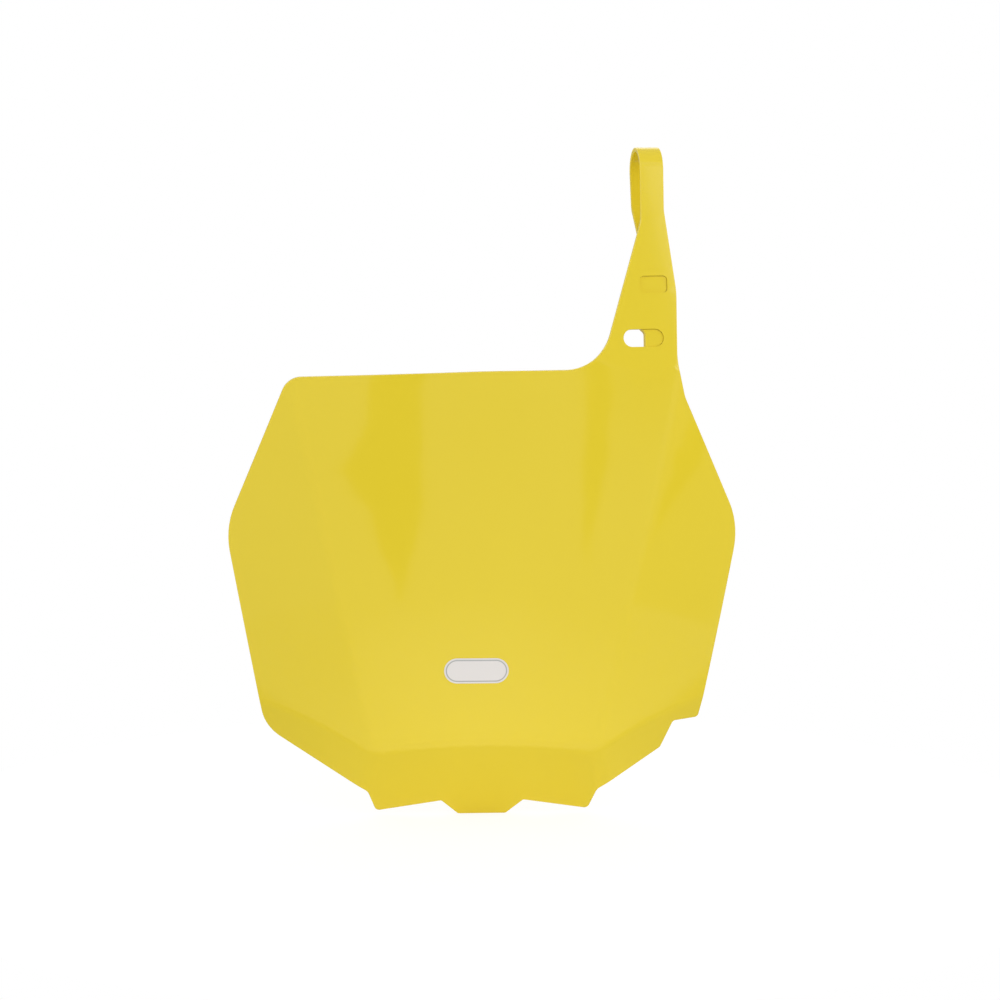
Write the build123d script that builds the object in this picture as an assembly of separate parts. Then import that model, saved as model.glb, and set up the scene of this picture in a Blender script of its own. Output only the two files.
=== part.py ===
from build123d import *
import os
from math import asin, cos, radians, sin, sqrt, tan

# A front number board for an off-road motorbike: one thin moulding with a crowned centre panel, two
# swept-back wings, a lower panel with tabs and flanges, and a strap whose end folds over a bar.
# Sizes are in millimetres and degrees. While it is built, x runs from the board's middle to the
# viewer's right, y runs back from the foremost point and z runs up from the lower edge.

# Sheet
wall = 2.2
crease_radius = 22.0
front_rim_round = 0.5

# Centre panel, part of a large ball
panel_radius = 600.0
upright_height = 179.1

# Outline of the board, by the sharp corners before rounding
wing_corner_half = 128.4
wing_corner_height = 150.6
wing_corner_round = 42.0
top_corner_half = 96.5
top_corner_height = 228.3
top_corner_round = 10.5
top_crown_rise = 3.0
top_crown_round = 500.0
side_foot_half = 109.8
side_foot_height = 46.0
side_foot_round = 20.0
shoulder_half = 58.2
shoulder_height = 14.5
shoulder_round = 5.0
foot_inset = 4.2
foot_height = 2.5
foot_round = 2.5
tab_half = 12.2
tab_round = 1.5
tab_slope = 8.7
tab_notch_height = 8.4
tab_notch_round = 1.5

# Wings, parts of other large balls that meet the panel's along two slanting creases
wing_lean = 28.0
crease_top_half = 95.6
crease_top_drop = 5.2
crease_foot_half = 55.7
crease_foot_height = 39.1

# Lower panel and the flange below each wing
lower_fold_height = 44.1
lower_lean = 38.0
flange_fold = 14.0
flange_outer_half = 110.0
flange_outer_height = 60.1
flange_inner_half = 57.0
flange_inner_height = 38.1

# Notch for the brake hose, on the viewer's right
hose_notch_height = 49.1
hose_notch_depth = 13.6
hose_notch_slant = 6.0
hose_notch_round = 2.0

# Strap, a flat blade that leaves the top edge and narrows to a neck
strap_fold = 7.0
strap_length = 98.5
strap_fold_drop = 0.6
strap_side_inset = 2.0
strap_side_rise = 4.7
strap_side_round = 40.0
strap_shoulder = 5.7
strap_root_spread = 21.0
strap_root_rise = 0.4
strap_root_round = 23.0
strap_foot_outset = 1.9
strap_foot_drop = 10.8
strap_foot_round = 20.0
strap_taper_rise = 38.0
strap_taper_round = 40.0
neck_width = 11.7
neck_left_length = 26.1
neck_right_length = 21.1
neck_round = 12.0

# Slots in the strap, and the catches on the tail that fill them almost to the front
slot_length = 20.2
slot_width = 8.7
slot_offset = 5.15
slot_rise = 15.9
keeper_length = 13.6
keeper_width = 8.2
keeper_corner = 2.0
keeper_offset = 0.2
keeper_spacing = 25.9
catch_clearance = 0.1
catch_recess = 0.7

# Loop over the bar, and the tail that comes down behind the strap
loop_radius = 9.5
loop_straight = 17.0
loop_closing = 27.0
tail_bend = 6.0
tail_gap = 0.4
tail_top_rise = 10.5
tail_shoulder_rise = 6.5
tail_left_flare = 2.8
tail_right_flare = 3.5
tail_step_rise = 2.6
tail_step_length = 4.0
tail_step_offset = 1.0
tail_end_drop = 9.5
tail_round = 2.5

# Label on the centre panel
label_length = 32.0
label_width = 13.0
label_thickness = 0.2
label_offset = -4.5
label_height = 82.1

# Working sizes, larger than the board
reach = 700.0
front_margin = 30.0
back_depth = 90.0
room_depth = 150.0
trimmed_round = 1.0
alike = 0.001

# Heights and places that follow from the sizes above
top_crown_height = top_corner_height + top_crown_rise
crease_top_height = top_corner_height - crease_top_drop
strap_fold_height = top_crown_height - strap_fold_drop
strap_side_right = top_corner_half - strap_side_inset
neck_right = strap_side_right - strap_shoulder
neck_left = neck_right - neck_width
neck_middle = (neck_left + neck_right) / 2
loop_height = strap_fold_height + strap_length
slot_middle = neck_middle - slot_offset
slot_height = strap_fold_height + slot_rise
keeper_middle = neck_middle + keeper_offset
keeper_height = slot_height + keeper_spacing


def panel_point(x, z):
    """The point of the panel's front at a place in the front view."""
    return Vector(x, panel_radius - sqrt(panel_radius**2 - x**2 - (z - upright_height) ** 2), z)


def half_space(point, facing, inset):
    """A block that fills everything behind a plane, moved in by the inset."""
    plane = Plane(origin=point - facing * inset, z_dir=facing)
    return plane * Box(2 * reach, 2 * reach, reach, align=(Align.CENTER, Align.CENTER, Align.MAX))


def ball_block(middle, radius, inset):
    """A ball that fills everything behind its front, moved in by the inset."""
    return Pos(middle) * Sphere(radius - inset)


def wing_ball(side):
    """Middle and radius of the ball that a wing's front lies on. Its middle is as deep as the panel's and
    lies square to the crease, so the crease, where the two balls meet, is straight in the front view."""
    square = Vector(crease_top_height - crease_foot_height, 0, crease_foot_half - crease_top_half)
    square = square.normalized()
    crease_place = Vector(crease_top_half, 0, crease_top_height - upright_height).dot(square)
    crease_bend = sqrt(panel_radius**2 - crease_place**2)
    lean = radians(wing_lean)
    aside = square * (crease_place - crease_bend * tan(lean))
    return Vector(side * aside.X, panel_radius, upright_height + aside.Z), crease_bend / cos(lean)


def wing_point(side, half, height):
    """The point of a wing's front at a place in the front view."""
    middle, radius = wing_ball(side)
    depth = middle.Y - sqrt(radius**2 - (side * half - middle.X) ** 2 - (height - middle.Z) ** 2)
    return Vector(side * half, depth, height)


def front_place(plane, x, z):
    """The point of a plane at a place in the front view."""
    depth = (plane.origin - Vector(x, 0, z)).dot(plane.z_dir) / plane.z_dir.Y
    return Vector(x, depth, z)


def flange_line(side):
    """The two ends of the fold between a wing and its flange."""
    outer = wing_point(side, flange_outer_half, flange_outer_height)
    inner = wing_point(side, flange_inner_half, flange_inner_height)
    return outer, inner


def flange_facing(side):
    """The way a flange faces: its wing's way, turned down about the fold line between them."""
    outer, inner = flange_line(side)
    line = (inner - outer).normalized()
    wing_facing = (outer + inner) * 0.5 - wing_ball(side)[0]
    wing_facing = (wing_facing - line * wing_facing.dot(line)).normalized()
    down = wing_facing.cross(line) * side
    fold = radians(flange_fold)
    return wing_facing * cos(fold) + down * sin(fold)


def lower_facing():
    return Vector(0, -cos(radians(lower_lean)), -sin(radians(lower_lean)))


def strap_plane():
    """The strap's front plane: x across the strap, y up along it and z out of its front."""
    turn = asin(neck_middle / panel_radius)
    lean = asin((strap_fold_height - upright_height) / panel_radius) + radians(strap_fold)
    across = Vector(cos(turn), sin(turn), 0)
    facing = Vector(sin(turn) * cos(lean), -cos(turn) * cos(lean), sin(lean))
    return Plane(origin=panel_point(neck_middle, strap_fold_height), x_dir=across, z_dir=facing)


def on_strap(x, z):
    """Where a place in the front view lies on the strap's own plane."""
    place = strap_plane().to_local_coords(front_place(strap_plane(), x, z))
    return place.X, place.Y


def skin_block(inset):
    """What lies behind every front face, moved in by the inset, with each crease between them rounded."""
    height = loop_height + 2 * room_depth
    width = 2 * wing_corner_half + room_depth
    room = Pos(0, 0, -room_depth) * Box(
        width, 2 * room_depth, height, align=(Align.CENTER, Align.CENTER, Align.MIN)
    )
    block = room & ball_block(Vector(0, panel_radius, upright_height), panel_radius, inset)
    for side in (-1, 1):
        block &= ball_block(*wing_ball(side), inset)
        block &= half_space(flange_line(side)[0], flange_facing(side), inset)
    block &= half_space(panel_point(0, lower_fold_height), lower_facing(), inset)
    block &= half_space(strap_plane().origin, strap_plane().z_dir, inset)
    creases = block.edges().filter_by(lambda edge: room.shell().distance_to(edge.position_at(0.5)) > alike)
    return fillet(creases, crease_radius - inset)


def board_outline():
    """The front view's outline: sharp corners and their roundings, anticlockwise from the lower edge."""
    slope = (side_foot_height - shoulder_height) / (side_foot_half - shoulder_half)
    side_lean = (wing_corner_half - side_foot_half) / (wing_corner_height - side_foot_height)
    notch_side = side_foot_half + side_lean * (hose_notch_height - side_foot_height)
    notch_inner = notch_side - hose_notch_depth
    notch_foot = notch_inner - hose_notch_slant
    notch_foot_height = shoulder_height + slope * (notch_foot - shoulder_half)
    above_loop = loop_height + front_margin
    foot_corners = [
        (tab_half, 0, tab_round),
        (tab_half + tab_slope, tab_notch_height, tab_notch_round),
        (shoulder_half - foot_inset, foot_height, foot_round),
        (shoulder_half, shoulder_height, shoulder_round),
    ]
    right_corners = [
        (notch_foot, notch_foot_height, hose_notch_round),
        (notch_inner, hose_notch_height, hose_notch_round),
        (notch_side, hose_notch_height, hose_notch_round),
        (wing_corner_half, wing_corner_height, wing_corner_round),
        (top_corner_half + strap_foot_outset, top_corner_height - strap_foot_drop, strap_foot_round),
        (strap_side_right, strap_fold_height + strap_side_rise, strap_side_round),
        (strap_side_right, strap_fold_height + strap_taper_rise, strap_taper_round),
        (neck_right, loop_height - neck_right_length, neck_round),
        (neck_right, above_loop, trimmed_round),
        (neck_left, above_loop, trimmed_round),
        (neck_left, loop_height - neck_left_length, neck_round),
        (neck_left - strap_root_spread, top_crown_height + strap_root_rise, strap_root_round),
        (0, top_crown_height, top_crown_round),
    ]
    left_corners = [
        (-top_corner_half, top_corner_height, top_corner_round),
        (-wing_corner_half, wing_corner_height, wing_corner_round),
        (-side_foot_half, side_foot_height, side_foot_round),
    ]
    mirrored = [(-x, z, radius) for x, z, radius in reversed(foot_corners)]
    corners = foot_corners + right_corners + left_corners + mirrored
    places = [(x, z) for x, z, radius in corners]
    radii = [radius for x, z, radius in corners]
    return make_face(FilletPolyline(*places, radius=radii, close=True))


def front_prism(outline):
    """An outline of the front view, carried from before the board to behind it."""
    upright = Plane(origin=(0, -front_margin, 0), x_dir=(1, 0, 0), z_dir=(0, -1, 0))
    return extrude(upright * outline, amount=-(back_depth + front_margin))


def loop_middle():
    """The middle of the loop, on the bar's axis, in the strap's own places. The neck's sides run straight
    back, so they are skewed across the turned strap, and the loop's inside is moved over by that skew."""
    plane = strap_plane()
    x, y = on_strap(neck_middle, loop_height)
    skew = -wall * plane.x_dir.Y / plane.z_dir.Y
    return x + skew, y, -wall - loop_radius


def loop_start():
    """The plane across the strap's neck where the loop begins to bend."""
    plane = strap_plane()
    return Plane(origin=plane.from_local_coords(loop_middle()), x_dir=plane.x_dir, z_dir=plane.y_dir)


def loop_axis():
    """The bar's axis, behind the neck, along the strap's width. The loop turns about it, over the top."""
    return Axis(loop_start().origin, -loop_start().x_dir)


def rim_edges(shell, skin):
    """The rim's edges on one skin: edges of the side walls, which run straight back, that lie on it."""
    walls = shell.faces().filter_by(lambda face: abs(face.normal_at().Y) < alike)
    return walls.edges().filter_by(lambda edge: skin.shell().distance_to(edge.position_at(0.5)) < alike)


def board_shell():
    """The thin board: two skins a wall apart, trimmed by the outline, up to where the loop begins."""
    outer = skin_block(0)
    inner = skin_block(wall)
    shell = (outer & front_prism(board_outline())) - inner
    shell = split(shell, bisect_by=loop_start(), keep=Keep.BOTTOM)
    return fillet(rim_edges(shell, outer), front_rim_round)


def strap_loop(neck):
    """The neck's end face, turned half round the bar."""
    return revolve(neck, loop_axis(), 180)


def tail_leg(neck):
    """The loop's other end, brought down and forward until it lies behind the strap."""
    plane = strap_plane()
    start = loop_middle()[1]
    mid_sheet = wall + wall / 2
    far_layer = -mid_sheet - 2 * loop_radius
    near_layer = -mid_sheet - tail_gap
    closing_start = start - loop_straight
    closing_end = closing_start - loop_closing
    foot = on_strap(neck_left, keeper_height + tail_shoulder_rise)[1]
    side_view = Plane(origin=plane.origin, x_dir=plane.y_dir, z_dir=plane.x_dir)
    path = side_view * FilletPolyline(
        (start, far_layer),
        (closing_start, far_layer),
        (closing_end, near_layer),
        (foot, near_layer),
        radius=tail_bend,
    )
    return sweep(neck.rotate(loop_axis(), 180), path=path.wire())


def tail_outline():
    """The tail's wider end, with a step that leaves half of the lower slot open."""
    top = keeper_height + tail_top_rise
    shoulder = keeper_height + tail_shoulder_rise
    step_foot = slot_height + tail_step_rise
    step_left = slot_middle + tail_step_offset
    end = slot_height - tail_end_drop
    left = neck_left - tail_left_flare
    right = neck_right + tail_right_flare
    corners = [
        (neck_left, top),
        (left, shoulder),
        (left, step_foot + tail_step_length),
        (step_left, step_foot),
        (step_left, end),
        (right, end),
        (right, shoulder),
        (neck_right, top),
    ]
    return make_face(FilletPolyline(*[on_strap(x, z) for x, z in corners], radius=tail_round, close=True))


def slot_outline(inset):
    """The lower slot, round at both ends, moved in by the inset."""
    place = Pos(*on_strap(slot_middle, slot_height))
    return place * SlotOverall(slot_length - 2 * inset, slot_width - 2 * inset)


def keeper_outline(inset):
    """The upper slot, with rounded corners, moved in by the inset."""
    corner = keeper_corner - inset
    place = Pos(*on_strap(keeper_middle, keeper_height))
    return place * RectangleRounded(keeper_length - 2 * inset, keeper_width - 2 * inset, corner)


def strap_slot(outline):
    """A slot through the strap's front leg."""
    depth = front_margin + wall + tail_gap / 2
    return extrude(strap_plane().offset(front_margin) * outline, amount=-depth)


def tail_pad():
    """The tail's wider end, flat behind the strap, with a catch for each slot standing on its front."""
    seat = strap_plane().offset(-wall - tail_gap)
    rise = wall + tail_gap - catch_recess
    pad = extrude(seat * tail_outline(), amount=-wall)
    pad += extrude(seat * (slot_outline(catch_clearance) & tail_outline()), amount=rise)
    return pad + extrude(seat * keeper_outline(catch_clearance), amount=rise)


def number_board():
    shell = board_shell()
    neck = shell.faces().sort_by(Axis.Z)[-1]
    shell -= strap_slot(slot_outline(0))
    shell -= strap_slot(keeper_outline(0))
    return shell + strap_loop(neck) + tail_leg(neck) + tail_pad()


def blank_label():
    """A thin sticker that follows the panel's front."""
    outline = Pos(label_offset, label_height) * SlotOverall(label_length, label_width)
    return (skin_block(-label_thickness) & front_prism(outline)) - skin_block(0)


nodes = {"number_board": number_board(), "blank_label": blank_label()}
to_bar = Pos(-loop_axis().position)

os.makedirs("parts", exist_ok=True)
for name, solid in nodes.items():
    export_step(to_bar * solid, f"parts/{name}.step")
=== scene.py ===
"""The racing number board dressed for its picture: gloss yellow moulding, plain blank label, pale studio."""
from math import cos, radians, sin

import bpy
import numpy as np
from mathutils import Matrix, Vector


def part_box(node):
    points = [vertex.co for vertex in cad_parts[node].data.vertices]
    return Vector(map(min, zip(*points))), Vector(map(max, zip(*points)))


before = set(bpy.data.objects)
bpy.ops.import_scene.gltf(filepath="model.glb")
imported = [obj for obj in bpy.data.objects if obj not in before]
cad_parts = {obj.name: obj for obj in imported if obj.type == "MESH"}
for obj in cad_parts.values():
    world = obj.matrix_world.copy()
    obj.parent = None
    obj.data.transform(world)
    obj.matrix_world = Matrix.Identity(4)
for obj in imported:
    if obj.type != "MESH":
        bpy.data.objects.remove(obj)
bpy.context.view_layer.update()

# Camera, at the photograph's side and height. Lengths are in metres and angles in radians.
view_azimuth = radians(-3.0)
view_elevation = radians(8.0)
view_distance = 1.6
field_width = 0.489
sensor_width = 36.0
aim_height = 0.1591
aim_right = 0.0068
aim_up = 0.0093

# Floor. To the board it glows in a painted pool of light in front, and its mirror image has painted shade
# behind the board.
floor_radius = 0.3
floor_sides = 128
floor_albedo = 0.68
floor_shade = 0.2
floor_glow = 0.84
pool_level = 0.43
pool_middle = -0.06
pool_half_width = 0.13
pool_half_depth = 0.2
pool_edge = 1.7
painted_shade_start = 0.0
painted_shade_fade = 0.015
painted_shade_depth = 0.55

# Light tent round the board, by azimuth from the front towards the viewer's right and by height from level.
# Low down its walls are grey in front, darker towards the right, bright at the sides and dim behind.
# Higher up they are bright all round, and the roof is dim again.
white = (1.0, 1.0, 1.0, 1.0)
low_level = 0.68
upper_level = 1.51
upper_start = radians(3.0)
upper_full = radians(13.0)
roof_level = 0.5
roof_start = radians(35.0)
roof_full = radians(50.0)
side_level = 1.2
side_start = radians(72.0)
side_full = radians(80.0)
back_level = 0.35
back_start = radians(98.0)
back_full = radians(115.0)
right_dim = 0.4
right_start = radians(35.0)
right_full = radians(58.0)

# Dark shapes in the tent: a tall screen with a pointed side, a post, a leaning bar and a soft patch.
# The first three narrow from their waist to their foot.
dark_depth = 0.85
dark_fade = radians(0.5)
dark_wobble = radians(1.2)
wobble_size = 0.05
wobble_detail = 2.0
screen_middle = radians(-7.2)
screen_half = radians(3.3)
screen_foot = radians(-25.0)
screen_waist = radians(-9.0)
screen_lean = 0.0
point_reach = radians(2.9)
point_height = radians(-6.6)
point_half = radians(5.0)
post_middle = radians(13.9)
post_half = radians(1.6)
post_foot = radians(-22.5)
post_waist = radians(-4.0)
post_lean = 0.06
bar_middle = radians(60.8)
bar_half = radians(1.8)
bar_foot = radians(-23.5)
bar_waist = radians(-12.0)
bar_lean = 0.43
bar_shoulder = radians(-11.0)
bar_top = radians(-8.0)
patch_middle = radians(22.0)
patch_half = radians(13.0)
patch_height = radians(17.0)
patch_reach = radians(30.0)
patch_core = 0.1
patch_edge = 1.0
patch_depth = 0.8

# Lamp on the viewer's right
key_place = (1.02, -1.02, 0.84)
key_size = 1.0
key_power = 3.6

# Shading of the solids' faces
weld_distance = 1e-6
sharp_angle = radians(30.0)
face_weight = 50
bump_strength = 1.0
bump_distance = 1.0
noise_middle = 0.5

# Gloss yellow plastic
yellow = (0.82, 0.638, 0.033)
yellow_drift = (0.012, 0.012, 0.006)
drift_size = 0.06
drift_detail = 3.0
gloss = 0.06
gloss_change = 0.03
gloss_size = 0.012
gloss_detail = 4.0
peel_height = 4e-6
peel_size = 0.0014
peel_detail = 2.0
wave_height = 5e-5
wave_size = 0.07
wave_detail = 1.0
plastic_ior = 1.49

# Label film, with a thin printed line round its edge
film_white = (0.78, 0.75, 0.74)
film_grain = 0.02
film_gloss = 0.3
grain_size = 0.0006
grain_detail = 3.0
grain_height = 3e-6
line_grey = 0.42
line_inset = 0.0011
line_width = 0.0004
line_fade = 0.0002


class Signal:
    """An output of a shader node. Arithmetic between signals and numbers adds Math nodes to their tree."""

    def __init__(self, tree, socket=None):
        self.tree = tree
        self.socket = socket

    def node(self, kind, settings=None, inputs=None, output=0):
        """Adds a node: its settings first, then a number, colour or link for each named socket."""
        made = self.tree.nodes.new(kind)
        for name, value in (settings or {}).items():
            setattr(made, name, value)
        for name, value in (inputs or {}).items():
            if isinstance(value, Signal):
                self.tree.links.new(value.socket, made.inputs[name])
            else:
                made.inputs[name].default_value = value
        return Signal(self.tree, made.outputs[output] if made.outputs else None)

    def part(self, name):
        """Another output of the same node."""
        return Signal(self.tree, self.socket.node.outputs[name])

    def math(self, operation, *values):
        """One Math node on the values, in their order."""
        return self.node("ShaderNodeMath", {"operation": operation}, dict(enumerate(values)))

    def smooth(self, low, high):
        """Rises smoothly from 0 at the low value to 1 at the high one."""
        ends = {"Value": self, "From Min": low, "From Max": high}
        return self.node("ShaderNodeMapRange", {"interpolation_type": "SMOOTHSTEP"}, ends)

    def __add__(self, other):
        return self.math("ADD", self, other)

    def __sub__(self, other):
        return self.math("SUBTRACT", self, other)

    def __rsub__(self, other):
        return self.math("SUBTRACT", other, self)

    def __mul__(self, other):
        return self.math("MULTIPLY", self, other)

    def __abs__(self):
        return self.math("ABSOLUTE", self)

    __radd__ = __add__
    __rmul__ = __mul__


def noise(mix, place, size, detail):
    """Soft noise between 0 and 1, in lumps of about the size given."""
    return mix.node("ShaderNodeTexNoise", inputs={"Vector": place, "Scale": 1 / size, "Detail": detail})


def oval(mix, across, half_width, along, half_length):
    """The distance from an oval's middle, in shares of the way to its edge: the root of the squares' sum."""
    across = across * (1 / half_width)
    along = along * (1 / half_length)
    return mix.math("SQRT", across * across + along * along)


def board_place(x, y, z):
    """A place given from the board's middle, foremost point and lower edge, in the frame's metres."""
    low, high = (Vector(corner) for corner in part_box("number_board"))
    return Vector(((low.x + high.x) / 2 + x, low.y + y, low.z + z))


def add_camera():
    """The camera looks down its own axis at a point near the board's middle, from the photograph's side."""
    back = Vector((
        sin(view_azimuth) * cos(view_elevation),
        -cos(view_azimuth) * cos(view_elevation),
        sin(view_elevation),
    ))
    right = Vector((cos(view_azimuth), sin(view_azimuth), 0))
    up = back.cross(right)
    aim = board_place(0, 0, aim_height) + right * aim_right + up * aim_up
    camera = bpy.data.cameras.new("camera")
    camera.sensor_width = sensor_width
    camera.lens = sensor_width * view_distance / field_width
    seat = bpy.data.objects.new("camera", camera)
    turn = Matrix((right, up, back)).transposed().to_4x4()
    seat.matrix_world = Matrix.Translation(aim + back * view_distance) @ turn
    bpy.context.scene.collection.objects.link(seat)
    bpy.context.scene.camera = seat


def streak(azimuth, height, middle, half, foot, waist, lean, point=0.0):
    """One upright dark shape: 1 within its half width of its leaning middle line, and within its point more
    on its left. The half width grows smoothly from nothing at its foot to the whole at its waist."""
    aside = azimuth - middle - lean * (height - foot)
    half = half * height.smooth(foot, waist)
    outside = aside.math("MAXIMUM", aside - half, -1 * aside - half - point)
    return outside.smooth(0, -dark_fade)


def light_left(room, azimuth, height):
    """The share of the tent's light that the dark shapes leave each way. The screen's point is a triangle
    about one height, and the patch is an oval that fades from its core to its edge."""
    point = point_reach * room.math("MAXIMUM", 1 - abs(height - point_height) * (1 / point_half), 0.0)
    screen = streak(
        azimuth, height, screen_middle, screen_half, screen_foot, screen_waist, screen_lean, point
    )
    post = streak(azimuth, height, post_middle, post_half, post_foot, post_waist, post_lean)
    bar = streak(azimuth, height, bar_middle, bar_half, bar_foot, bar_waist, bar_lean)
    bar = bar * height.smooth(bar_top, bar_shoulder)
    patch = oval(room, azimuth - patch_middle, patch_half, height - patch_height, patch_reach)
    patch = patch.smooth(patch_edge, patch_core)
    return (1 - dark_depth * (screen + post + bar)) * (1 - patch_depth * patch)


def add_room():
    """White to the camera. To the board it is a light tent with dark shapes in it, which leave the streaks
    that the board's gloss mirrors. Each part of the tent's wall blends smoothly into the next."""
    world = bpy.data.worlds.new("room")
    world.use_nodes = True
    world.node_tree.nodes.clear()
    room = Signal(world.node_tree)
    way = room.node("ShaderNodeTexCoord", output="Generated")
    axes = room.node("ShaderNodeSeparateXYZ", inputs={"Vector": way})
    wobble = dark_wobble * (noise(room, way, wobble_size, wobble_detail) - noise_middle)
    azimuth = room.math("ARCTAN2", axes.part("X"), -1 * axes.part("Y")) + wobble
    height = room.math("ARCSINE", axes.part("Z"))
    low = low_level * (1 - right_dim * azimuth.smooth(right_start, right_full))
    around = low + (side_level - low) * abs(azimuth).smooth(side_start, side_full)
    around = around + (back_level - side_level) * abs(azimuth).smooth(back_start, back_full)
    tent = around + (upper_level - around) * height.smooth(upper_start, upper_full)
    tent = tent + (roof_level - tent) * height.smooth(roof_start, roof_full)
    tent = tent * light_left(room, azimuth, height)
    seen = room.node("ShaderNodeLightPath", output="Is Camera Ray")
    strength = seen + (1 - seen) * tent
    light = room.node("ShaderNodeBackground", inputs={"Color": white, "Strength": strength})
    room.node("ShaderNodeOutputWorld", inputs={"Surface": light})
    bpy.context.scene.world = world


def new_material(name):
    """An empty material and a signal that adds nodes to it."""
    material = bpy.data.materials.new(name)
    material.use_nodes = True
    material.node_tree.nodes.clear()
    return material, Signal(material.node_tree)


def floor_finish():
    """A pale matt floor that looks white to the camera where the light is full, and keeps soft shadows. To
    the board it glows: a long painted pool of light before the board, fading from its middle to its edge.
    What the gloss mirrors of it is darkened by painted shade from the board backwards."""
    material, mix = new_material("pale_floor")
    rays = mix.node("ShaderNodeLightPath")
    seen = rays.part("Is Camera Ray")
    middle = board_place(0, pool_middle, 0)
    spot = mix.node("ShaderNodeTexCoord", output="Object")
    axes = mix.node("ShaderNodeSeparateXYZ", inputs={"Vector": spot})
    place = oval(mix, axes.part("X") - middle.x, pool_half_width, axes.part("Y") - middle.y, pool_half_depth)
    # Painted shade: seen in the gloss, the floor is darker from the board backwards.
    behind = (axes.part("Y") - board_place(0, painted_shade_start, 0).y).smooth(0, painted_shade_fade)
    lit = 1 - painted_shade_depth * behind * rays.part("Is Glossy Ray")
    # Painted light: the floor glows in a pool before the board and lights the board from below.
    pool = pool_level * place.smooth(pool_edge, 0) * lit
    level = pool + (floor_glow - pool) * seen
    albedo = floor_albedo * lit
    albedo = albedo + (floor_shade - albedo) * seen
    matt = mix.node("ShaderNodeBsdfDiffuse", inputs={"Color": albedo})
    glow = mix.node("ShaderNodeEmission", inputs={"Color": white, "Strength": level})
    both = mix.node("ShaderNodeAddShader", inputs={0: matt, 1: glow})
    mix.node("ShaderNodeOutputMaterial", inputs={"Surface": both})
    return material


def add_floor():
    """A round floor: a ring of points at the board's lowest height, filled by one face."""
    turn = np.linspace(0, 2 * np.pi, floor_sides, endpoint=False)
    middle = board_place(0, 0, 0)
    ring = np.stack([
        middle.x + floor_radius * np.cos(turn),
        middle.y + floor_radius * np.sin(turn),
        np.full(floor_sides, middle.z),
    ], axis=1)
    mesh = bpy.data.meshes.new("floor")
    mesh.from_pydata(ring.tolist(), [], [list(range(floor_sides))])
    mesh.materials.append(floor_finish())
    floor = bpy.data.objects.new("floor", mesh)
    bpy.context.scene.collection.objects.link(floor)


def add_key():
    """One large soft lamp, high on the viewer's right, facing the board's middle."""
    lamp = bpy.data.lights.new("key", "AREA")
    lamp.shape = "DISK"
    lamp.size = key_size
    lamp.energy = key_power
    seat = bpy.data.objects.new("key", lamp)
    place = board_place(*key_place)
    facing = board_place(0, 0, aim_height) - place
    seat.matrix_world = Matrix.Translation(place) @ facing.to_track_quat("-Z", "Y").to_matrix().to_4x4()
    bpy.context.scene.collection.objects.link(seat)


def colour(mix, channels):
    """A colour from a number or signal for each channel."""
    return mix.node("ShaderNodeCombineColor", inputs=dict(zip(("Red", "Green", "Blue"), channels)))


def bumped(mix, height):
    """A normal from a height in metres."""
    relief = {"Height": height, "Strength": bump_strength, "Distance": bump_distance}
    return mix.node("ShaderNodeBump", inputs=relief)


def yellow_plastic():
    """Gloss moulded plastic. The colour drifts a little along the moulding, the gloss changes from place to
    place, and the skin has a fine orange peel on a slow waviness that bends what it mirrors."""
    material, mix = new_material("yellow_plastic")
    place = mix.node("ShaderNodeTexCoord", output="Object")
    drift = noise(mix, place, drift_size, drift_detail) - noise_middle
    base = colour(mix, [level + change * drift for level, change in zip(yellow, yellow_drift)])
    rough = gloss + gloss_change * (noise(mix, place, gloss_size, gloss_detail) - noise_middle)
    peel = peel_height * noise(mix, place, peel_size, peel_detail)
    wave = wave_height * noise(mix, place, wave_size, wave_detail)
    skin = bumped(mix, peel + wave)
    finish = {"Base Color": base, "Roughness": rough, "IOR": plastic_ior, "Normal": skin}
    shader = mix.node("ShaderNodeBsdfPrincipled", inputs=finish)
    mix.node("ShaderNodeOutputMaterial", inputs={"Surface": shader})
    return material


def label_film():
    """Thin white satin film with a fine grain. The depth below its edge, which is straight with two round
    ends, is its half width less the distance from its middle line, and a thin grey line follows one depth."""
    material, mix = new_material("label_film")
    low, high = (Vector(corner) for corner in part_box("blank_label"))
    middle = (low + high) / 2
    half_width = (high.z - low.z) / 2
    half_straight = (high.x - low.x) / 2 - half_width
    place = mix.node("ShaderNodeTexCoord", output="Object")
    axes = mix.node("ShaderNodeSeparateXYZ", inputs={"Vector": place})
    along = mix.math("MAXIMUM", abs(axes.part("X") - middle.x) - half_straight, 0.0)
    across = axes.part("Z") - middle.z
    depth = half_width - mix.math("SQRT", along * along + across * across)
    line = abs(depth - line_inset).smooth(line_width / 2 + line_fade, line_width / 2)
    grain = noise(mix, place, grain_size, grain_detail)
    paper = [level + film_grain * (grain - noise_middle) for level in film_white]
    base = colour(mix, [tone + line * (line_grey - tone) for tone in paper])
    finish = {"Base Color": base, "Roughness": film_gloss, "Normal": bumped(mix, grain_height * grain)}
    shader = mix.node("ShaderNodeBsdfPrincipled", inputs=finish)
    mix.node("ShaderNodeOutputMaterial", inputs={"Surface": shader})
    return material


def dress(name, material):
    """Gives a solid's own object its finish. Its faces are joined where they meet, kept apart at sharp edges,
    and shaded by the larger of the faces at each point, so flats stay flat and the creases between roll."""
    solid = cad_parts[name]
    solid.data.materials.clear()
    solid.data.materials.append(material)
    joined = solid.modifiers.new("joined_faces", "WELD")
    joined.merge_threshold = weld_distance
    sharp = solid.modifiers.new("sharp_edges", "EDGE_SPLIT")
    sharp.split_angle = sharp_angle
    rolled = solid.modifiers.new("rolled_creases", "WEIGHTED_NORMAL")
    rolled.mode = "FACE_AREA"
    rolled.weight = face_weight


add_camera()
add_room()
add_floor()
add_key()
dress("number_board", yellow_plastic())
dress("blank_label", label_film())

bpy.context.scene.view_settings.view_transform = "Standard"
